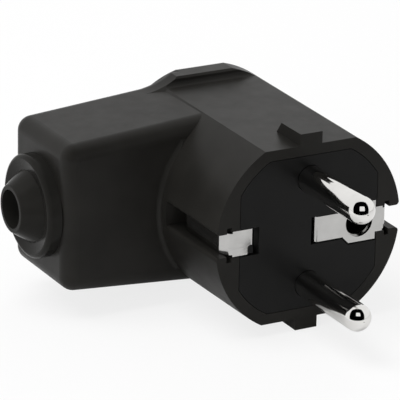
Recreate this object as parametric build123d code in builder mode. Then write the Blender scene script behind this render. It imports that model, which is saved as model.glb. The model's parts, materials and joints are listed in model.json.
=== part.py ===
from build123d import *
import os
from math import atan, degrees, radians, tan

os.makedirs("parts", exist_ok=True)

# Right-angled two-pin plug with side earth clips and an earth pin socket, wired by the user.
# Origin in the middle of the engagement face. The pins point along -Y, the body lies behind
# the face along +Y, the cable arm points along -X, and +Z is up. The pins stand one above
# the other. Sizes are in millimetres. "Depth" is always the distance behind the face.

# Hood, outside
body_radius = 17.9          # round body at the engagement face
body_depth = 40.6           # from the face to the back of the plug
draft = 0.5                 # degrees, the body widens away from the face
flat_height = 15.6          # centre to the top or bottom flat, at the face
ridge_rise = 1.7            # the finger ridge stands this much above the flat
ridge_width = 4.8           # front wall of the finger ridge to the back of the plug
ridge_round = 0.9           # hollow corner at the foot of the ridge
ridge_edge = 0.35           # rounding along the ridge's front edge
back_round = 1.4            # rounding round the back of the body
saddle_top = 6.4            # centre of the plug to where the ridge starts to slope to the arm
saddle_foot = 12.8          # centre of the plug to where that slope meets the arm
saddle_run = 4.5            # the saddle fades out over this length in front of the ridge
crease_round = 0.8          # hollow corner between the front of the arm and the round body
crease_fade = 2.0           # the ends of that corner thin out over twice this length
wall = 2.2                  # hood wall, also round the arm
back_wall = 2.4             # wall at the back of the body

# Lugs at the top and bottom of the face, which key the plug into a recessed socket
lug_width = 4.2
lug_rise = 2.1              # flat, at the face, to the top of a lug
lug_length = 6.6
lug_ramp = 1.6              # extra length of the sloping back end, at its foot

# Cable arm
arm_front = 19.7            # face to the arm's front wall
arm_reach = 36.0            # centre of the plug to the end of the arm
arm_step = 0.4              # the arm is this much lower than the flat, where it starts
arm_drop = 2.15             # half height that the arm loses from its start to its end
arm_root = 8.4              # centre of the plug to the start of the arm's taper
arm_rise = 0.5              # the arm sits this much above the middle plane
arm_round = 2.6             # rounding along the arm and down its end

# Earth grooves in the two sides
groove_height = 4.1
groove_floor = 14.5         # centre of the plug to the floor of a groove
groove_margin = 2.1         # end of a groove to the front of the arm
groove_lip_round = 0.6      # softened lips along a groove
relief_start = 14.9         # centre of the plug to the relief where the strip turns
relief_width = 0.9
relief_height = 6.2
relief_depth = 1.6

# Insert that carries the contacts, seen from the front as a clipped circle
insert_radius = 15.8
insert_half_width = 13.35
insert_half_height = 13.75
fit_gap = 0.1               # gap all round between a piece and the pocket it slides into
plate_thickness = 5.0
pad_half_width = 9.2        # thicker middle of the insert, behind the plate

# Contact pins
pin_radius = 2.4
pin_length = 19.0           # face to the tip
pin_spacing = 19.0
pin_neck_radius = 2.2       # thinner stretch of a pin inside the insert
collar_radius = 3.8
collar_thickness = 2.0
barrel_radius = 3.2
barrel_length = 10.0
wire_hole_radius = 1.75
wire_hole_setback = 5.0     # front of the barrel to the wire hole

# Earth contacts
strip_recess = 0.2          # face to the front of the earth strip
strip_thickness = 0.8
strip_height = 4.5
strip_end = 14.6            # centre of the plug to where the strip narrows to a clip
strip_bend = 0.5            # bend radius in the middle of the sheet
dip_depth = 1.9             # face to the front of the strip where it dips under the bridge
dip_left = 10.3             # centre of the plug to the end of the dip, towards the arm
dip_right = 1.15            # centre of the plug to the end of the dip, away from the arm
bridge_gap = 0.67           # gap between the strip and the bridge across the face
window_gap = 0.2            # gap between the strip and the opening it shows through
wide_height = 7.0
wide_start = 6.9
wide_end = 13.2
wide_chamfer = 1.1
notch_offset = 11.1         # centre of the plug to the notch in the strip's lower edge
notch_top = 0.6             # the notch ends this far below the middle of the strip
notch_width = 1.2
clip_height = 3.8
clip_corner = 14.85         # centre of the plug to the bend of a clip
clip_reach = 16.0           # centre of the plug to the rubbing face of a clip
clip_lead = 1.8             # depth over which the clip swings out to its full reach
clip_length = 13.6          # front of the strip to where the end of a clip turns in
clip_tail = 0.5             # how far the end of a clip turns in
clip_tail_length = 1.6
earth_offset = 10.0         # centre of the plug to the earth pin socket
earth_bore_radius = 2.45
earth_hole_radius = 2.75    # wider hole behind the sleeve, for the tip of the earth pin
sleeve_wall = 0.5
sleeve_length = 11.5
sleeve_slit = 0.8
sleeve_solid = 3.0          # unslit stretch next to the strip
spring_thickness = 0.4
spring_width = 1.2
spring_setback = 3.0        # end of the sleeve to the spring
strip_hole_radius = 2.62

# Earth terminal
block_width = 6.0
block_height = 4.5
block_length = 13.0
block_round = 0.4
block_offset = 2.0          # centre of the plug to the middle of the block, towards the arm
rivet_radius = 1.2
rivet_head_radius = 1.7
rivet_head_angle = 90        # degrees, across the countersunk head
rivet_length = 3.6

# Screws
screw_radius = 1.5
screw_head_radius = 2.6
screw_head_height = 1.7
slot_width = 0.7
slot_depth = 0.9
thread_gap = 0.05           # radial gap between a screw and its hole
protector_thickness = 0.35
protector_width = 2.1
protector_offset = 0.85     # wire hole axis to the front of the wire protector
protector_leg = 2.4
protector_gap = 0.15        # side of the terminal to the leg of the protector
screw_rise = 0.9            # a terminal screw's head stands this far off its terminal

# Frame behind the insert, which holds the pins in
frame_thickness = 2.0
shield_wall = 1.0
shield_gap = 0.4
shield_height = 8.5
shield_mouth = 4.4          # opening in a shield for the wire
frame_screw_places = ((7.2, 8.2), (7.2, -8.2), (-4.6, 4.6), (-4.6, -4.6))
frame_screw_radius = 1.1
frame_head_radius = 1.8
frame_head_height = 1.2
frame_screw_length = 5.6

# Cord clamp
cord_radius = 3.4
cradle_near = 6.6           # centre of the plug to the cradle, towards the arm
cradle_width = 5.6
cradle_half_height = 9.6
cradle_bed = 2.4            # thickness of the cradle under the cord
post_height = 4.4
clamp_screw_spacing = 14.2
clamp_width = 5.0
clamp_thickness = 2.0
clamp_screw_length = 11.0
clamp_clearance = 1.0       # heads of the clamp's screws to the back wall
clamp_saddle = 0.7          # how far the bar's middle reaches down onto the cord
cradle_leg = 2.2
post_width = 5.0

# Cable gland
gland_margin = 1.35         # rim of the flange to the front and back of the arm
gland_flange = 2.5
gland_round = 0.8           # rounding round the rim of the flange
gland_dish = 0.35           # front of the flange is dished by this much
cone_base_radius = 6.4
cone_tip_radius = 4.15
cone_length = 2.9
cone_tip_round = 0.35
gland_bore_radius = 3.4
gland_neck_radius = 6.0
gland_bead = 0.9            # the bead inside the wall stands this much past the neck
gland_bead_length = 2.0

# Screw that holds the insert in the hood
housing_screw_radius = 1.75
housing_head_radius = 3.1
housing_head_height = 2.2
housing_thread = 4.9        # length of the screw inside its nut
housing_head_sink = 0.3     # the head lies this far under the back of the plug
tower_wall = 1.6
tower_depth = 24.0          # face to the end of the earth tower
earth_pin_depth = 16.0      # face to the bottom of the earth pin socket
nut_radius = 3.0
nut_length = 7.0
boss_radius = 4.6

# Derived sizes
growth = tan(radians(draft))
ridge_depth = body_depth - ridge_width
ridge_height = flat_height + ridge_depth * growth + ridge_rise
lug_height = flat_height + lug_rise
arm_root_height = flat_height - arm_step
arm_end_height = arm_root_height - arm_drop
groove_length = arm_front - groove_margin
gland_depth = (arm_front + body_depth) / 2
gland_radius = gland_depth - arm_front - gland_margin
arm_taper = (arm_root_height - arm_end_height) / (arm_reach - arm_root)
back_radius = body_radius + body_depth * growth
strip_back = strip_recess + strip_thickness
strip_middle = strip_recess + strip_thickness / 2
dip_back = dip_depth + strip_thickness
dip_middle = dip_depth + strip_thickness / 2
collar_back = plate_thickness + collar_thickness
frame_back = collar_back + frame_thickness
barrel_back = collar_back + barrel_length
wire_depth = collar_back + wire_hole_setback
protector_back = protector_offset + protector_thickness
pin_height = pin_spacing / 2
cavity_depth = body_depth - back_wall
sleeve_radius = earth_bore_radius + sleeve_wall
tower_bore = sleeve_radius + spring_thickness + fit_gap
tower_radius = tower_bore + tower_wall
head_seat = body_depth - housing_head_sink - housing_head_height
housing_screw_length = head_seat - tower_depth + housing_thread
clamp_seat = cavity_depth - clamp_clearance - screw_head_height - clamp_thickness
cradle_top = clamp_seat - 2 * cord_radius
cradle_middle = -cradle_near - cradle_width / 2
sleeve_back = strip_back + sleeve_length
block_back = dip_back + block_length
block_wire_depth = block_back - wire_hole_setback
past = 2.0                  # cutters run this far past what they cut
pin_sides = (1, -1)         # upper pin, lower pin
clip_sides = (-1, 1)        # side of the arm, side away from it


def at_depth(depth):
    """Plane across the plug at this depth, drawn with +X to the right and +Z up.
    Extruding from it by a positive amount goes towards the face and out of it."""
    return Plane.XZ.offset(-depth)


def from_back(x, z, depth):
    """Place at this depth for a hole that is bored from behind, towards the face."""
    return at_depth(depth) * Location((x, z, 0), (180, 0, 0))


def along_y(x, z):
    """Axis parallel to the pins through this point."""
    return Axis((x, 0, z), (0, 1, 0))


def insert_outline(gap):
    """Outline of the insert, or of its pocket, as a clipped circle."""
    with BuildSketch() as outline:
        Circle(insert_radius + gap)
        Rectangle(
            2 * (insert_half_width + gap), 2 * (insert_half_height + gap), mode=Mode.INTERSECT
        )
    return outline.sketch


def arm_half_height(reach):
    """Half height of the arm at this distance from the centre of the plug."""
    return arm_root_height - (reach - arm_root) * arm_taper


def arm_outline(inset, start):
    """Outline of the arm seen from the front, moved in by a wall on every side.
    It tapers from the side of the body to its end, and runs level inside the body."""
    end = arm_reach - inset
    root_height = arm_half_height(arm_root) - inset
    end_height = arm_half_height(end) - inset
    with BuildSketch() as outline:
        with BuildLine():
            Polyline(
                (-start, arm_rise - root_height),
                (-arm_root, arm_rise - root_height),
                (-end, arm_rise - end_height),
                (-end, arm_rise + end_height),
                (-arm_root, arm_rise + root_height),
                (-start, arm_rise + root_height),
                close=True,
            )
        make_face()
    return outline.sketch


def saddle_outline(side):
    """Outline of the upper or lower saddle, from the ridge down to the arm, with its inside."""
    foot_height = arm_rise + side * arm_half_height(saddle_foot)
    with BuildSketch() as outline:
        with BuildLine():
            slope = TangentArc(
                (-saddle_foot, foot_height),
                (-saddle_top, side * ridge_height),
                tangent=(1, side * arm_taper),
            )
            Polyline(slope @ 1, (0, side * ridge_height), (0, 0), (-saddle_foot, 0), slope @ 0)
        make_face()
    return outline.sketch


# Cable arm with a saddle at the back, which leads from the finger ridge down onto the arm,
# rounded along its edges before it joins the hood
with BuildPart() as arm:
    with BuildSketch(at_depth(body_depth)):
        add(arm_outline(0, 0))
    extrude(amount=body_depth - arm_front)
    # The saddle fades out in a ramp in front of the ridge
    fade = degrees(atan((ridge_height - flat_height) / saddle_run))
    for side in (1, -1):
        with BuildSketch(at_depth(body_depth)):
            add(saddle_outline(side))
        extrude(amount=ridge_width)
        with BuildSketch(at_depth(ridge_depth)):
            add(saddle_outline(side))
        extrude(amount=saddle_run, taper=fade)
    arm_edges = arm.edges().filter_by(lambda edge: edge.center().X < -saddle_foot - past)
    slope_edges = arm.faces().sort_by(Axis.Y)[-1].edges().filter_by(
        lambda edge: edge.center().X > -saddle_foot and abs(edge.center().Z) > arm_end_height
    )
    fillet(arm_edges + slope_edges, arm_round)

# Hollow ring where the front of the arm meets the round body. It thins out towards the
# rounded edges of the arm.
with BuildPart() as crease:
    crease_start = arm_front - crease_round
    crease_back = arm_front + crease_round
    crease_radius = body_radius + arm_front * growth
    crease_end = arm_half_height(crease_radius) - arm_round
    with BuildSketch(Plane.XY):
        with BuildLine():
            hollow = TangentArc(
                (-body_radius - crease_start * growth, crease_start),
                (-crease_radius - crease_round, arm_front),
                tangent=(-growth, 1),
            )
            Polyline(
                hollow @ 1,
                (-crease_radius - crease_round, crease_back),
                (-crease_radius + crease_round, crease_back),
                (-crease_radius + crease_round, crease_start),
                hollow @ 0,
            )
        make_face()
    revolve(axis=Axis.Y)
    with BuildSketch(Plane.YZ):
        with BuildLine():
            Polyline(
                (crease_start, arm_rise - crease_end + crease_fade),
                (crease_back, arm_rise - crease_end - crease_fade),
                (crease_back, arm_rise + crease_end + crease_fade),
                (crease_start, arm_rise + crease_end - crease_fade),
                close=True,
            )
        make_face()
    extrude(amount=-arm_reach, mode=Mode.INTERSECT)

# Hood: round body with the arm, two flats, a finger ridge at the back and two lugs, in one piece
with BuildPart() as hood:
    with BuildSketch(at_depth(body_depth)):
        Circle(back_radius)
    extrude(amount=body_depth, taper=draft)
    fillet(hood.edges().sort_by(Axis.Y)[-1], back_round)
    add(arm.part)
    add(crease.part)
    # The flats stop at the finger ridge, whose top is a lower flat of its own
    for side in (1, -1):
        foot_height = flat_height + ridge_depth * growth
        with BuildSketch(Plane.YZ):
            with BuildLine():
                flat = Line(
                    (-past, side * (flat_height - past * growth)),
                    (ridge_depth - ridge_round, side * (foot_height - ridge_round * growth)),
                )
                hollow = TangentArc(
                    flat @ 1, (ridge_depth, side * (foot_height + ridge_round)), tangent=flat % 1
                )
                top = Polyline(
                    hollow @ 1,
                    (ridge_depth, side * (ridge_height - ridge_edge)),
                    (ridge_depth + ridge_edge, side * ridge_height),
                    (body_depth - back_round, side * ridge_height),
                )
                back = TangentArc(
                    top @ 1, (body_depth, side * (ridge_height - back_round)), tangent=(1, 0)
                )
                Polyline(
                    back @ 1,
                    (body_depth, side * (back_radius + past)),
                    (-past, side * (back_radius + past)),
                    flat @ 0,
                )
            make_face()
        extrude(amount=back_radius + past, both=True, mode=Mode.SUBTRACT)
    # Lugs at the face
    for side in (1, -1):
        with BuildSketch(Plane.YZ):
            with BuildLine():
                Polyline(
                    (0, side * (flat_height - wall / 2)),
                    (0, side * lug_height),
                    (lug_length, side * lug_height),
                    (lug_length + lug_ramp, side * flat_height),
                    (lug_length + lug_ramp, side * (flat_height - wall / 2)),
                    close=True,
                )
            make_face()
        extrude(amount=lug_width / 2, both=True)
    # Pocket for the insert and hollow of the arm
    with BuildSketch(at_depth(cavity_depth)):
        add(insert_outline(0))
    extrude(amount=cavity_depth + past, mode=Mode.SUBTRACT)
    with BuildSketch(at_depth(cavity_depth)):
        add(arm_outline(wall, arm_root - wall))
    extrude(amount=cavity_depth - arm_front - wall, mode=Mode.SUBTRACT)
    # Earth grooves, open at the face, with room for the strip to pass over the rim
    for side in clip_sides:
        with BuildSketch(at_depth(groove_length)):
            with Locations((side * (groove_floor + back_radius) / 2, 0)):
                Rectangle(back_radius - groove_floor + past, groove_height)
        extrude(amount=groove_length + past, mode=Mode.SUBTRACT)
        with BuildSketch(at_depth(strip_back + fit_gap)):
            with Locations((side * relief_start / 2, 0)):
                Rectangle(relief_start, strip_height + 2 * fit_gap)
        extrude(amount=strip_back + past, mode=Mode.SUBTRACT)
        with BuildSketch(at_depth(relief_depth)):
            with Locations((side * (relief_start + relief_width / 2), 0)):
                Rectangle(relief_width, relief_height)
        extrude(amount=relief_depth + past, mode=Mode.SUBTRACT)
    lips = hood.edges().filter_by(
        lambda edge: clip_reach < abs(edge.center().X) < back_radius
        and past < edge.center().Y < groove_length - past
        and abs(edge.center().Z) < groove_height
    )
    fillet(lips, groove_lip_round)
    # Hole for the gland's neck in the end of the arm
    with BuildSketch(Plane.YZ.offset(-arm_reach - past)):
        with Locations((gland_depth, arm_rise)):
            Circle(gland_neck_radius)
    extrude(amount=wall + 2 * past, mode=Mode.SUBTRACT)
    # Boss and counterbore for the screw that draws the insert in
    with BuildSketch(at_depth(body_depth - back_wall / 2)):
        with Locations((earth_offset, 0)):
            Circle(boss_radius)
        Rectangle(2 * insert_half_width, 2 * insert_half_height, mode=Mode.INTERSECT)
    extrude(amount=body_depth - back_wall / 2 - tower_depth)
    with Locations(from_back(earth_offset, 0, body_depth)):
        CounterBoreHole(
            housing_screw_radius + fit_gap,
            housing_head_radius + 2 * fit_gap,
            body_depth - head_seat,
            depth=body_depth - tower_depth + past,
        )
hood.part.label = "hood"

export_step(hood.part, "parts/hood.step")


def strip_outline(gap):
    """Outline of the flat earth strip as far as its clips, seen from the front."""
    with BuildSketch() as outline:
        Rectangle(2 * strip_end, strip_height + 2 * gap)
        with Locations(((wide_start + wide_end) / 2, 0)):
            Rectangle(wide_end - wide_start + 2 * gap, wide_height + 2 * gap)
        inner_corners = outline.vertices().group_by(Axis.X)[1]
        mid_step = (strip_height + wide_height) / 4
        chamfer(inner_corners.filter_by(lambda corner: abs(corner.Y) > mid_step), wide_chamfer)
    return outline.sketch


def notch_outline(gap):
    """Outline of the notch in the strip's lower edge, or of the peg that fills it."""
    with BuildSketch() as outline:
        with Locations((-notch_offset, -notch_top - strip_height / 2)):
            SlotOverall(strip_height - 2 * gap, notch_width - 2 * gap, rotation=90)
        Rectangle(2 * insert_half_width, strip_height - 2 * gap, mode=Mode.INTERSECT)
    return outline.sketch


# Front plate of the insert, with the two openings through which the earth strip shows
with BuildPart() as insert_plate:
    with BuildSketch(at_depth(plate_thickness)):
        add(insert_outline(-fit_gap))
    extrude(amount=plate_thickness)
    with BuildSketch(at_depth(collar_back)):
        add(insert_outline(-fit_gap))
        Rectangle(2 * pad_half_width, 2 * insert_half_height, mode=Mode.INTERSECT)
    extrude(amount=collar_thickness)
    # Channel for the strip, open to the back, with a bridge in front of its middle
    with BuildSketch(at_depth(collar_back)):
        add(strip_outline(fit_gap))
    extrude(amount=collar_back - dip_depth + fit_gap, mode=Mode.SUBTRACT)
    with BuildSketch(at_depth(dip_depth)):
        add(strip_outline(window_gap))
        with Locations(((dip_right - dip_left) / 2, 0)):
            Rectangle(dip_right + dip_left - 2 * bridge_gap, wide_height, mode=Mode.SUBTRACT)
    extrude(amount=dip_depth, mode=Mode.SUBTRACT)
    # Bores for the pins, with a seat for each collar, and holes for the frame's screws
    with Locations([from_back(0, side * pin_height, collar_back) for side in pin_sides]):
        CounterBoreHole(pin_radius + thread_gap, collar_radius + fit_gap, collar_thickness)
    with Locations([from_back(x, z, collar_back) for x, z in frame_screw_places]):
        Hole(frame_screw_radius + thread_gap, depth=frame_screw_length - frame_thickness)
insert_plate.part.label = "insert_plate"
export_step(insert_plate.part, "parts/insert_plate.step")

# Frame behind the insert: wire shields, earth tower and the cradle of the cord clamp
with BuildPart() as terminal_frame:
    with BuildSketch(at_depth(frame_back)):
        add(insert_outline(-fit_gap))
    extrude(amount=frame_thickness)
    with BuildSketch(at_depth(frame_back + shield_height)):
        with Locations([(0, side * pin_height) for side in pin_sides]):
            Circle(barrel_radius + shield_gap + shield_wall)
        add(insert_outline(-fit_gap), mode=Mode.INTERSECT)
    extrude(amount=shield_height)
    with BuildSketch(at_depth(tower_depth)):
        with Locations((earth_offset, 0)):
            Circle(tower_radius)
        add(insert_outline(-fit_gap), mode=Mode.INTERSECT)
    extrude(amount=tower_depth - frame_back)
    # Cradle: a bed on two legs, with a post for each clamp screw
    with BuildSketch(at_depth(cradle_top)):
        with Locations((cradle_middle, 0)):
            Rectangle(cradle_width, 2 * cradle_half_height)
    extrude(amount=cradle_top - frame_back)
    with BuildSketch(at_depth(cradle_top - cradle_bed)):
        with Locations((cradle_middle, 0)):
            Rectangle(cradle_width + past, 2 * (cradle_half_height - cradle_leg))
    extrude(amount=cradle_top - cradle_bed - frame_back, mode=Mode.SUBTRACT)
    with BuildSketch(at_depth(cradle_top + post_height)):
        with GridLocations(0, 2 * cradle_half_height - post_width, 1, 2):
            with Locations((cradle_middle, 0)):
                Rectangle(cradle_width, post_width)
    extrude(amount=post_height)
    # Room for the terminals, the wires and the earth sleeve
    with BuildSketch(at_depth(frame_back + shield_height + past)):
        with Locations([(0, side * pin_height) for side in pin_sides]):
            Circle(barrel_radius + shield_gap)
    extrude(amount=shield_height + past, mode=Mode.SUBTRACT)
    with BuildSketch(at_depth(frame_back + shield_height + past)):
        with Locations([(-barrel_radius - shield_wall, side * pin_height) for side in pin_sides]):
            Rectangle(2 * (barrel_radius + shield_wall), shield_mouth)
    extrude(amount=shield_height + past, mode=Mode.SUBTRACT)
    with BuildSketch(at_depth(frame_back + past)):
        with Locations([(0, side * pin_height) for side in pin_sides]):
            Circle(barrel_radius + fit_gap)
        with Locations((-block_offset, 0)):
            Rectangle(block_width + 2 * fit_gap, block_height + 2 * fit_gap)
    extrude(amount=frame_thickness + 2 * past, mode=Mode.SUBTRACT)
    with BuildSketch(at_depth(sleeve_back + fit_gap)):
        with Locations((earth_offset, 0)):
            Circle(tower_bore)
        with Locations((earth_offset + tower_radius / 2, 0)):
            Rectangle(tower_radius, 2 * tower_bore)
    extrude(amount=sleeve_back - collar_back + past, mode=Mode.SUBTRACT)
    with BuildSketch(at_depth(earth_pin_depth)):
        with Locations((earth_offset, 0)):
            Circle(earth_hole_radius)
    extrude(amount=earth_pin_depth - sleeve_back, mode=Mode.SUBTRACT)
    with Locations(from_back(earth_offset, 0, tower_depth)):
        Hole(nut_radius + thread_gap, depth=nut_length)
    clamp_places = [(cradle_middle, side * clamp_screw_spacing / 2) for side in (1, -1)]
    with Locations([from_back(x, z, clamp_seat) for x, z in clamp_places]):
        Hole(screw_radius + thread_gap, depth=clamp_screw_length - clamp_thickness)
    with Locations([from_back(x, z, frame_back) for x, z in frame_screw_places]):
        Hole(frame_screw_radius + thread_gap, depth=frame_thickness)
    # Finger that presses on the strip, and the peg that fills the strip's notch
    finger_outer = insert_half_width - fit_gap
    finger_inner = dip_left + strip_thickness + fit_gap
    with BuildSketch(at_depth(collar_back)):
        with Locations((-(finger_outer + finger_inner) / 2, 0)):
            Rectangle(finger_outer - finger_inner, strip_height - 2 * fit_gap)
    extrude(amount=collar_back - strip_back)
    with BuildSketch(at_depth(collar_back)):
        add(notch_outline(fit_gap))
    extrude(amount=collar_back - strip_recess - fit_gap)
terminal_frame.part.label = "terminal_frame"
export_step(terminal_frame.part, "parts/terminal_frame.step")

# Contact pins: round tip, shank, collar and a terminal barrel in one turned piece
for name, side in (("live", 1), ("neutral", -1)):
    with BuildPart() as pin:
        with BuildSketch(Plane.XY.offset(side * pin_height)):
            with BuildLine():
                tip = CenterArc((0, pin_radius - pin_length), pin_radius, -90, 90)
                Polyline(
                    tip @ 1,
                    (pin_radius, 0),
                    (pin_neck_radius, 0),
                    (pin_neck_radius, plate_thickness),
                    (collar_radius, plate_thickness),
                    (collar_radius, collar_back),
                    (barrel_radius, collar_back),
                    (barrel_radius, barrel_back),
                    (0, barrel_back),
                    tip @ 0,
                )
            make_face()
        revolve(axis=along_y(0, side * pin_height))
        with BuildSketch(Plane.YZ.offset(-collar_radius)):
            with Locations((wire_depth, side * pin_height)):
                Circle(wire_hole_radius)
        extrude(amount=2 * collar_radius, mode=Mode.SUBTRACT)
        with Locations(from_back(0, side * pin_height, barrel_back)):
            Hole(screw_radius + thread_gap, depth=wire_hole_setback)
    pin.part.label = f"{name}_pin"
    export_step(pin.part, f"parts/{name}_pin.step")


def slotted_screw(x, z, seat, length, radius, head_radius, head_height):
    """Cheese-head screw driven towards the face, with its head on this seat."""
    with BuildPart() as screw:
        with BuildSketch(at_depth(seat)):
            with Locations((x, z)):
                Circle(radius)
        extrude(amount=length)
        chamfer(screw.edges().sort_by(Axis.Y)[0], radius / 4)
        with BuildSketch(at_depth(seat + head_height)):
            with Locations((x, z)):
                Circle(head_radius)
        extrude(amount=head_height)
        chamfer(screw.edges().sort_by(Axis.Y)[-1], head_height / 6)
        with BuildSketch(at_depth(seat + head_height)):
            with Locations((x, z)):
                Rectangle(2 * head_radius, slot_width)
        extrude(amount=min(slot_depth, head_height / 2), mode=Mode.SUBTRACT)
    return screw.part


def wire_protector(x, z, half_width, hole_depth):
    """Bent strip in the wire hole of a terminal, which keeps the screw off the wire."""
    leg = half_width + protector_gap
    front = hole_depth + protector_offset
    back = hole_depth + protector_back
    with BuildPart() as protector:
        with BuildSketch(Plane.XY.offset(z - protector_width / 2)):
            with BuildLine():
                Polyline(
                    (x + half_width, front),
                    (x - leg - protector_thickness, front),
                    (x - leg - protector_thickness, front + protector_leg),
                    (x - leg, front + protector_leg),
                    (x - leg, back),
                    (x + half_width, back),
                    close=True,
                )
            make_face()
        extrude(amount=protector_width)
    return protector.part


# Terminal screws and wire protectors
terminals = (
    ("live", 0, pin_height, barrel_radius, wire_depth, barrel_back),
    ("neutral", 0, -pin_height, barrel_radius, wire_depth, barrel_back),
    ("earth", -block_offset, 0, block_width / 2, block_wire_depth, block_back),
)
for name, x, z, half_width, hole_depth, back in terminals:
    screw_tip = hole_depth + protector_back
    screw_seat = back + screw_rise
    terminal_screw = slotted_screw(
        x, z, screw_seat, screw_seat - screw_tip, screw_radius, screw_head_radius, screw_head_height
    )
    terminal_screw.label = f"{name}_terminal_screw"
    export_step(terminal_screw, f"parts/{name}_terminal_screw.step")
    protector = wire_protector(x, z, half_width, hole_depth)
    protector.label = f"{name}_wire_protector"
    export_step(protector, f"parts/{name}_wire_protector.step")


def clip_path(side):
    """Middle line of the sheet from the end of a clip to the front of the strip."""
    rubbing = clip_reach - strip_thickness / 2
    turn_depth = strip_recess + clip_length
    return [
        (side * (rubbing - clip_tail), turn_depth + clip_tail_length),
        (side * rubbing, turn_depth),
        (side * rubbing, strip_middle + clip_lead),
        (side * clip_corner, strip_middle),
    ]


# Earth strip: one bent sheet that dips under the bridge, with a sprung clip at each end
with BuildPart() as earth_strip:
    with BuildSketch(Plane.XY.offset(-strip_height / 2)):
        with BuildLine():
            FilletPolyline(
                *clip_path(-1),
                (-dip_left - strip_thickness / 2, strip_middle),
                (-dip_left - strip_thickness / 2, dip_middle),
                (dip_right + strip_thickness / 2, dip_middle),
                (dip_right + strip_thickness / 2, strip_middle),
                *reversed(clip_path(1)),
                radius=strip_bend,
            )
        trace(line_width=strip_thickness)
    extrude(amount=strip_height)
    # The clips are narrower than the strip
    clip_margin = (strip_height - clip_height) / 2
    with BuildSketch(at_depth(strip_recess + clip_length + clip_tail_length + past)):
        with GridLocations(2 * strip_end + 2 * past, clip_height + clip_margin, 2, 2):
            Rectangle(2 * past, clip_margin)
    extrude(amount=clip_length + clip_tail_length + 2 * past, mode=Mode.SUBTRACT)
    with BuildSketch(at_depth(strip_back)):
        with Locations(((wide_start + wide_end) / 2, 0)):
            Rectangle(wide_end - wide_start, wide_height)
        add(strip_outline(0), mode=Mode.INTERSECT)
    extrude(amount=strip_thickness)
    with BuildSketch(at_depth(dip_back)):
        with Locations((earth_offset, 0)):
            Circle(strip_hole_radius)
        add(notch_outline(0))
    extrude(amount=dip_back, mode=Mode.SUBTRACT)
    with Locations(Location((-block_offset, dip_depth, 0), (90, 0, 0))):
        CounterSinkHole(rivet_radius, rivet_head_radius, counter_sink_angle=rivet_head_angle)
earth_strip.part.label = "earth_strip"
export_step(earth_strip.part, "parts/earth_strip.step")

# Brass block that takes the earth wire
with BuildPart() as earth_block:
    with BuildSketch(at_depth(block_back)):
        with Locations((-block_offset, 0)):
            RectangleRounded(block_width, block_height, block_round)
    extrude(amount=block_length)
    with BuildSketch(Plane.YZ.offset(-block_offset - block_width)):
        with Locations((block_wire_depth, 0)):
            Circle(wire_hole_radius)
    extrude(amount=2 * block_width, mode=Mode.SUBTRACT)
    with Locations(from_back(-block_offset, 0, block_back)):
        Hole(screw_radius + thread_gap, depth=wire_hole_setback)
    with Locations(from_back(-block_offset, 0, dip_back)):
        Hole(rivet_radius, depth=rivet_length - strip_thickness)
earth_block.part.label = "earth_terminal_block"
export_step(earth_block.part, "parts/earth_terminal_block.step")

# Countersunk rivet that joins the strip to the block
with BuildPart() as earth_rivet:
    sink = (rivet_head_radius - rivet_radius) / tan(radians(rivet_head_angle / 2))
    with BuildSketch(Plane.XY):
        with BuildLine():
            Polyline(
                (-block_offset, dip_depth),
                (rivet_head_radius - block_offset, dip_depth),
                (rivet_radius - block_offset, dip_depth + sink),
                (rivet_radius - block_offset, dip_depth + rivet_length),
                (-block_offset, dip_depth + rivet_length),
                close=True,
            )
        make_face()
    revolve(axis=along_y(-block_offset, 0))
earth_rivet.part.label = "earth_rivet"
export_step(earth_rivet.part, "parts/earth_rivet.step")

# Sleeve that grips the earth pin of a socket, slit so that it can spring
with BuildPart() as earth_sleeve:
    with BuildSketch(at_depth(sleeve_back)):
        with Locations((earth_offset, 0)):
            Circle(sleeve_radius)
            Circle(earth_bore_radius, mode=Mode.SUBTRACT)
    extrude(amount=sleeve_length)
    with BuildSketch(at_depth(sleeve_back)):
        with Locations((earth_offset, 0)):
            Rectangle(sleeve_slit, 3 * sleeve_radius, rotation=45)
            Rectangle(3 * sleeve_radius, sleeve_slit, rotation=45)
    extrude(amount=sleeve_length - sleeve_solid, mode=Mode.SUBTRACT)
earth_sleeve.part.label = "earth_sleeve"
export_step(earth_sleeve.part, "parts/earth_sleeve.step")

# Open ring spring round the sleeve
with BuildPart() as sleeve_spring:
    with BuildSketch(at_depth(sleeve_back - spring_setback)):
        with Locations((earth_offset, 0)):
            Circle(sleeve_radius + spring_thickness)
            Circle(sleeve_radius, mode=Mode.SUBTRACT)
        with Locations((earth_offset + sleeve_radius, 0)):
            Rectangle(2 * spring_width, spring_width, mode=Mode.SUBTRACT)
    extrude(amount=spring_width)
sleeve_spring.part.label = "sleeve_spring"
export_step(sleeve_spring.part, "parts/sleeve_spring.step")

# Screws that hold the frame to the insert
frame_screws = [
    slotted_screw(
        x,
        z,
        frame_back,
        frame_screw_length,
        frame_screw_radius,
        frame_head_radius,
        frame_head_height,
    )
    for x, z in frame_screw_places
]
export_step(Compound(label="frame_screws", children=frame_screws), "parts/frame_screws.step")

# Clamp bar that holds the cord in the cradle, with its two screws
with BuildPart() as clamp_bar:
    with BuildSketch(Plane.YZ.offset(cradle_middle - clamp_width / 2)):
        with BuildLine():
            Polyline(
                (clamp_seat, -cradle_half_height),
                (clamp_seat + clamp_thickness, -cradle_half_height),
                (clamp_seat + clamp_thickness, cradle_half_height),
                (clamp_seat, cradle_half_height),
                (clamp_seat, arm_rise + cord_radius),
            )
            ThreePointArc(
                (clamp_seat, arm_rise + cord_radius),
                (clamp_seat - clamp_saddle, arm_rise),
                (clamp_seat, arm_rise - cord_radius),
            )
            Line((clamp_seat, arm_rise - cord_radius), (clamp_seat, -cradle_half_height))
        make_face()
    extrude(amount=clamp_width)
    fillet(clamp_bar.edges().filter_by(Axis.Y), clamp_thickness / 2)
    with Locations([from_back(x, z, clamp_seat) for x, z in clamp_places]):
        Hole(screw_radius + fit_gap, depth=clamp_thickness)
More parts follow.
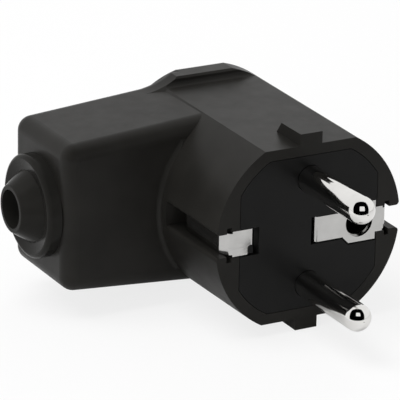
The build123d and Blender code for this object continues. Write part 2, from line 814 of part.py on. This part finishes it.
clamp_bar.part.label = "clamp_bar"
export_step(clamp_bar.part, "parts/clamp_bar.step")

clamp_screws = [
    slotted_screw(
        x,
        z,
        clamp_seat + clamp_thickness,
        clamp_screw_length,
        screw_radius,
        screw_head_radius,
        screw_head_height,
    )
    for x, z in clamp_places
]
export_step(Compound(label="clamp_screws", children=clamp_screws), "parts/clamp_screws.step")

# Cable gland: flange with a round rim, cone, and a neck held behind the wall by a bead
with BuildPart() as cable_gland:
    flange_front = -arm_reach - gland_flange
    cone_foot = flange_front + gland_dish
    cone_tip = flange_front - cone_length
    neck_end = -arm_reach + wall
    with BuildSketch(Plane.XY.offset(arm_rise)):
        with BuildLine():
            face = Polyline(
                (cone_tip, gland_depth + gland_bore_radius),
                (cone_tip, gland_depth + cone_tip_radius),
                (cone_foot, gland_depth + cone_base_radius),
                (flange_front, gland_depth + gland_radius - gland_round),
            )
            round_rim = TangentArc(
                face @ 1,
                (flange_front + gland_round, gland_depth + gland_radius),
                tangent=(0, 1),
            )
            Polyline(
                round_rim @ 1,
                (-arm_reach, gland_depth + gland_radius),
                (-arm_reach, gland_depth + gland_neck_radius),
                (neck_end, gland_depth + gland_neck_radius),
                (neck_end, gland_depth + gland_neck_radius + gland_bead),
                (neck_end + gland_bead_length, gland_depth + gland_neck_radius),
                (neck_end + gland_bead_length, gland_depth + gland_bore_radius),
                face @ 0,
            )
        make_face()
    revolve(axis=Axis((0, gland_depth, arm_rise), (1, 0, 0)))
    tip_edges = cable_gland.edges().filter_by(GeomType.CIRCLE).group_by(Axis.X)[0]
    fillet(tip_edges.sort_by(SortBy.RADIUS)[-1], cone_tip_round)
cable_gland.part.label = "cable_gland"
export_step(cable_gland.part, "parts/cable_gland.step")

# Screw through the back of the hood, and the brass nut moulded into the earth tower
housing_screw = slotted_screw(
    earth_offset,
    0,
    head_seat,
    housing_screw_length,
    housing_screw_radius,
    housing_head_radius,
    housing_head_height,
)
housing_screw.label = "housing_screw"
export_step(housing_screw, "parts/housing_screw.step")

with BuildPart() as housing_nut:
    with BuildSketch(at_depth(tower_depth)):
        with Locations((earth_offset, 0)):
            Circle(nut_radius)
            Circle(housing_screw_radius + thread_gap, mode=Mode.SUBTRACT)
    extrude(amount=nut_length)
housing_nut.part.label = "housing_nut"
export_step(housing_nut.part, "parts/housing_nut.step")
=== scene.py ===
import json
import math

import bpy
from mathutils import Matrix, Vector


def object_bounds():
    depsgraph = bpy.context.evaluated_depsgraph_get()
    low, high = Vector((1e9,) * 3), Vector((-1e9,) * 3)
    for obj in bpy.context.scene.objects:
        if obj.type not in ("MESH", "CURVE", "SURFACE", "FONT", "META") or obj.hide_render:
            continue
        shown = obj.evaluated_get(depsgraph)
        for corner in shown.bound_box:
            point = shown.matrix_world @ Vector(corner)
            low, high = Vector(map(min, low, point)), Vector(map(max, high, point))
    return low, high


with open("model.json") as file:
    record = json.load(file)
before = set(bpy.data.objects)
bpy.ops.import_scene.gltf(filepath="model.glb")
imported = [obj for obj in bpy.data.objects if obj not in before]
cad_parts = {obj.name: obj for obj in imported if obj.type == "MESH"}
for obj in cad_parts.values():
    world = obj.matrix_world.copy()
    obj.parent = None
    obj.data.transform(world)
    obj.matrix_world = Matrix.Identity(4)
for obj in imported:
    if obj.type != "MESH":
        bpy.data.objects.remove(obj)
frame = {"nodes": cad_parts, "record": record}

CAD_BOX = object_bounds()

# Camera, fitted to the pins, the face and the arm in the photo
CAMERA_PLACE = (-0.28725, -0.48545, 0.21540)
CAMERA_AZIMUTH = -28.735      # degrees, 0 looks along +Y
CAMERA_ELEVATION = 20.439     # degrees above the horizon
CAMERA_ROLL = 1.136           # degrees
CAMERA_LENS = 321.3           # mm
CAMERA_SENSOR = 36.0          # mm
CAMERA_NEAREST = 0.01
CAMERA_FURTHEST = 20.0

# Studio
WHITE = (1.0, 1.0, 1.0)
BLACK = (0.0, 0.0, 0.0)
WORLD_STRENGTH = 0.45
FLOOR_SIZE = 4.0
FLOOR_GAP = 0.0002            # between the floor and the lowest point of the part
FLOOR_COLOUR = (0.86, 0.86, 0.86)
FLOOR_ROUGHNESS = 0.9
FLOOR_SPECULAR = 0.1
FLOOR_SHADOW = 0.20           # how much of the floor's own light and shadow the camera sees
REFLECTED_SHADOW = 0.85       # and how much of it shows in reflections
PLUG_MIDDLE = (-0.01, 0.015, 0.0)
PIN_TIPS = (0.0, -0.0175, 0.0)

# Noise in the finishes: scale in 1/m, detail
CLOUDS = (120.0, 4.0)
RUBBED_PATCHES = (420.0, 5.0)
FINE_GRAIN = (7000.0, 2.0)
SHALLOW_WAVES = (160.0, 1.0)
TARNISH = (300.0, 4.0)
DRAWN_MARKS = (2200.0, 3.0)
NOISE_RANGE = (0.3, 0.7)      # where most of the values of a noise lie

# Stretch of the noise along X, Y and Z: the smaller, the longer the marks
EVEN = (1.0, 1.0, 1.0)
ALONG_PINS = (1.0, 0.05, 1.0)
ALONG_STRIP = (0.06, 1.0, 1.0)

# How strongly the noise shows
CLOUD_STOPS = (0.32, 0.68)
CLOUD_SHADES = (0.86, 1.16)   # times the plastic's colour
RUBBED_CHANGE = 0.03          # of the plastic's roughness, up and down
WAVE_DEPTH = 1.5              # times the depth of the grain
TARNISH_SHADE = 0.88          # times the metal's colour
DRAWN_CHANGE = (0.7, 1.5)     # times the metal's roughness


# ---------------------------------------------------------------- materials

def new_material(name, colour, roughness, metallic=0.0, specular=0.5):
    """A material with a plain Principled shader."""
    material = bpy.data.materials.new(name)
    material.use_nodes = True
    shader = material.node_tree.nodes["Principled BSDF"]
    shader.inputs["Base Color"].default_value = (*colour, 1.0)
    shader.inputs["Roughness"].default_value = roughness
    shader.inputs["Metallic"].default_value = metallic
    shader.inputs["Specular IOR Level"].default_value = specular
    return material


def add_noise(tree, pattern, stretch=EVEN):
    """Noise in the part's own frame. The pattern is its scale and detail."""
    scale, detail = pattern
    place = tree.nodes.new("ShaderNodeTexCoord")
    mapping = tree.nodes.new("ShaderNodeMapping")
    mapping.inputs["Scale"].default_value = stretch
    tree.links.new(place.outputs["Object"], mapping.inputs["Vector"])
    noise = tree.nodes.new("ShaderNodeTexNoise")
    noise.inputs["Scale"].default_value = scale
    noise.inputs["Detail"].default_value = detail
    tree.links.new(mapping.outputs["Vector"], noise.inputs["Vector"])
    return noise.outputs["Fac"]


def add_ramp(tree, source, stops, colours):
    """Colour ramp over a source between 0 and 1, with a colour at each of two stops."""
    ramp = tree.nodes.new("ShaderNodeValToRGB")
    for element, stop, colour in zip(ramp.color_ramp.elements, stops, colours):
        element.position = stop
        element.color = (*colour, 1.0)
    tree.links.new(source, ramp.inputs["Fac"])
    return ramp.outputs["Color"]


def add_range(tree, source, low, high):
    """A noise, spread over low to high."""
    spread = tree.nodes.new("ShaderNodeMapRange")
    spread.inputs["From Min"].default_value = NOISE_RANGE[0]
    spread.inputs["From Max"].default_value = NOISE_RANGE[1]
    spread.inputs["To Min"].default_value = low
    spread.inputs["To Max"].default_value = high
    tree.links.new(source, spread.inputs["Value"])
    return spread.outputs["Result"]


def add_bump(tree, source, depth, under=None):
    """Bump of this depth in metres, on top of another bump if one is given."""
    bump = tree.nodes.new("ShaderNodeBump")
    bump.inputs["Distance"].default_value = depth
    bump.inputs["Strength"].default_value = 1.0
    tree.links.new(source, bump.inputs["Height"])
    if under is not None:
        tree.links.new(under, bump.inputs["Normal"])
    return bump.outputs["Normal"]


def plastic(name, colour, roughness, specular, grain):
    """Moulded plastic: faint cloudy colour, a fine grain and rubbed patches."""
    material = new_material(name, colour, roughness, specular=specular)
    tree = material.node_tree
    shader = tree.nodes["Principled BSDF"]
    shades = [tuple(share * c for c in colour) for share in CLOUD_SHADES]
    tint = add_ramp(tree, add_noise(tree, CLOUDS), CLOUD_STOPS, shades)
    tree.links.new(tint, shader.inputs["Base Color"])
    rubbed = add_noise(tree, RUBBED_PATCHES)
    worn = add_range(tree, rubbed, roughness - RUBBED_CHANGE, roughness + RUBBED_CHANGE)
    tree.links.new(worn, shader.inputs["Roughness"])
    fine = add_bump(tree, add_noise(tree, FINE_GRAIN), grain)
    waves = add_bump(tree, add_noise(tree, SHALLOW_WAVES), WAVE_DEPTH * grain, under=fine)
    tree.links.new(waves, shader.inputs["Normal"])
    return material


def metal(name, colour, roughness, grain, stretch=EVEN):
    """Plated or turned metal: fine drawn marks and faint tarnish."""
    material = new_material(name, colour, roughness, metallic=1.0)
    tree = material.node_tree
    shader = tree.nodes["Principled BSDF"]
    duller = tuple(TARNISH_SHADE * c for c in colour)
    tint = add_ramp(tree, add_noise(tree, TARNISH), NOISE_RANGE, (duller, colour))
    tree.links.new(tint, shader.inputs["Base Color"])
    drawn = add_noise(tree, DRAWN_MARKS, stretch)
    smoothest, roughest = (share * roughness for share in DRAWN_CHANGE)
    tree.links.new(add_range(tree, drawn, smoothest, roughest), shader.inputs["Roughness"])
    tree.links.new(add_bump(tree, drawn, grain), shader.inputs["Normal"])
    return material


# Plastics: colour, roughness, specular level, depth of the grain in metres.
# Metals: colour, roughness, depth of the marks in metres, their stretch.
FINISHES = {
    "black_plastic": plastic("black_plastic", (0.0145, 0.0138, 0.0124), 0.38, 0.105, 0.000008),
    "gland_plastic": plastic("gland_plastic", (0.0145, 0.0140, 0.0128), 0.20, 0.04, 0.000001),
    "frame_plastic": plastic("frame_plastic", (0.010, 0.010, 0.010), 0.45, 0.08, 0.000012),
    "plated_brass": metal("plated_brass", (0.80, 0.79, 0.77), 0.07, 0.0000006, ALONG_PINS),
    # The strip's colour is partly its own duller plating, partly painted shade for the dimmer
    # surroundings its flat faces mirror
    "plated_strip": metal("plated_strip", (0.52, 0.515, 0.505), 0.13, 0.0000009, ALONG_STRIP),
    "bare_brass": metal("bare_brass", (0.72, 0.56, 0.28), 0.22, 0.000001),
    "steel": metal("steel", (0.60, 0.60, 0.58), 0.25, 0.000001),
}
# The face is darker and smoother than the hood, though both are the same slot
FACE_PLASTIC = plastic("face_plastic", (0.0070, 0.0070, 0.0068), 0.34, 0.125, 0.000003)


def dress(obj, material):
    """Gives every face of an object this material."""
    obj.data.materials.clear()
    obj.data.materials.append(material)


slot_of = {part["node"]: part["material_slot"] for part in frame["record"]["subparts"]}
for name, node in frame["nodes"].items():
    dress(node, FACE_PLASTIC if name == "insert_plate" else FINISHES[slot_of[name]])


# ------------------------------------------------------------------- camera

def camera_axes(azimuth, elevation, roll):
    """Right, up and back of a camera, in the part's frame."""
    a, e, r = (math.radians(v) for v in (azimuth, elevation, roll))
    right = Vector((math.cos(a), math.sin(a), 0.0))
    back = Vector((math.sin(a) * math.cos(e), -math.cos(a) * math.cos(e), math.sin(e)))
    up = back.cross(right)
    return (
        math.cos(r) * right + math.sin(r) * up,
        math.cos(r) * up - math.sin(r) * right,
        back,
    )


scene = bpy.context.scene
RIGHT, UP, BACK = camera_axes(CAMERA_AZIMUTH, CAMERA_ELEVATION, CAMERA_ROLL)
lens = bpy.data.cameras.new("camera")
lens.sensor_width = CAMERA_SENSOR
lens.lens = CAMERA_LENS
lens.clip_start = CAMERA_NEAREST
lens.clip_end = CAMERA_FURTHEST
camera = bpy.data.objects.new("camera", lens)
turn = Matrix((RIGHT, UP, BACK)).transposed().to_4x4()
camera.matrix_world = Matrix.Translation(CAMERA_PLACE) @ turn
scene.collection.objects.link(camera)
scene.camera = camera

scene.view_settings.view_transform = "Standard"


# ------------------------------------------------------- background and floor

def see_white(tree, own, white, output, camera_share, reflected_share):
    """Mixes a surface with plain white, for camera, glossy and transmission rays.

    The shares say how much of the white each kind of ray sees.
    """
    path = tree.nodes.new("ShaderNodeLightPath")
    shares = {
        "Is Camera Ray": camera_share,
        "Is Glossy Ray": reflected_share,
        "Is Transmission Ray": reflected_share,
    }
    white_share = None
    for ray, share in shares.items():
        scaled = tree.nodes.new("ShaderNodeMath")
        scaled.operation = "MULTIPLY"
        scaled.inputs[1].default_value = share
        tree.links.new(path.outputs[ray], scaled.inputs[0])
        if white_share is None:
            white_share = scaled.outputs["Value"]
            continue
        larger = tree.nodes.new("ShaderNodeMath")
        larger.operation = "MAXIMUM"
        tree.links.new(white_share, larger.inputs[0])
        tree.links.new(scaled.outputs["Value"], larger.inputs[1])
        white_share = larger.outputs["Value"]
    white.inputs["Color"].default_value = (*WHITE, 1.0)
    white.inputs["Strength"].default_value = 1.0
    mixed = tree.nodes.new("ShaderNodeMixShader")
    tree.links.new(white_share, mixed.inputs["Fac"])
    tree.links.new(own.outputs[0], mixed.inputs[1])
    tree.links.new(white.outputs[0], mixed.inputs[2])
    tree.links.new(mixed.outputs["Shader"], output.inputs["Surface"])


world = bpy.data.worlds.new("studio")
world.use_nodes = True
scene.world = world
tree = world.node_tree
soft = tree.nodes["Background"]
soft.inputs["Color"].default_value = (*WHITE, 1.0)
soft.inputs["Strength"].default_value = WORLD_STRENGTH
see_white(
    tree, soft, tree.nodes.new("ShaderNodeBackground"), tree.nodes["World Output"],
    camera_share=1.0, reflected_share=1.0,
)

floor_height = CAD_BOX[0].z - FLOOR_GAP
bpy.ops.mesh.primitive_plane_add(size=FLOOR_SIZE, location=(0.0, 0.0, floor_height))
floor = bpy.context.object
floor.name = "floor"
floor_material = new_material("floor", FLOOR_COLOUR, FLOOR_ROUGHNESS, specular=FLOOR_SPECULAR)
tree = floor_material.node_tree
see_white(
    tree, tree.nodes["Principled BSDF"], tree.nodes.new("ShaderNodeEmission"),
    tree.nodes["Material Output"],
    camera_share=1.0 - FLOOR_SHADOW, reflected_share=1.0 - REFLECTED_SHADOW,
)
dress(floor, floor_material)


# ---------------------------------------------------------- lamps and painted reflections

def add_lamp(name, place, size, power):
    """Square soft lamp that looks at the plug. Size in metres, power in watts."""
    light = bpy.data.lights.new(name, "AREA")
    light.shape = "SQUARE"
    light.size = size
    light.energy = power
    lamp = bpy.data.objects.new(name, light)
    lamp.location = place
    lamp.visible_glossy = False
    lamp.rotation_mode = "QUATERNION"
    lamp.rotation_quaternion = (Vector(PLUG_MIDDLE) - Vector(place)).to_track_quat("-Z", "Y")
    scene.collection.objects.link(lamp)


def add_painted_reflection(name, distance, across, rise, strength):
    """Flat card before the pins, square to the camera, which only reflections show: a painted
    reflection in the pins.

    It glows white with this strength, a painted highlight, and at 0 it is black, a painted
    dark reflection. Across is its left and right edge and rise its bottom and top one, as
    angles from the camera's line in degrees, seen from the tips of the pins.
    """
    (left, right), (bottom, top) = (
        [distance * math.tan(math.radians(angle)) for angle in angles]
        for angles in (across, rise)
    )
    centre = Vector(PIN_TIPS) + distance * BACK
    corners = [
        centre + x * RIGHT + z * UP
        for x, z in ((left, bottom), (right, bottom), (right, top), (left, top))
    ]
    mesh = bpy.data.meshes.new(name)
    mesh.from_pydata(corners, [], [(0, 1, 2, 3)])
    card = bpy.data.objects.new(name, mesh)
    scene.collection.objects.link(card)
    card.visible_camera = False
    card.visible_diffuse = False
    card.visible_transmission = False
    card.visible_shadow = False
    material = new_material(name, BLACK, 1.0, specular=0.0)
    shader = material.node_tree.nodes["Principled BSDF"]
    shader.inputs["Emission Color"].default_value = (*WHITE, 1.0)
    shader.inputs["Emission Strength"].default_value = strength
    dress(card, material)


add_lamp("key", (-0.25, 0.05, 0.55), size=0.40, power=2.4)
add_lamp("fill", (-0.55, -0.30, 0.20), size=0.30, power=1.2)
add_lamp("rim", (0.35, 0.40, 0.35), size=0.25, power=0.9)

# Seen from the photo's side, the tips of the pins mirror these and the flat faces the floor
# Painted reflections: the black card paints dark surroundings into the pins, the glowing one a
# painted highlight
add_painted_reflection("painted_dark_reflection", 0.060, across=(-66.0, 60.0), rise=(-60.0, 72.0), strength=0.0)
add_painted_reflection("painted_highlight", 0.059, across=(-12.0, 26.0), rise=(2.0, 34.0), strength=1.0)
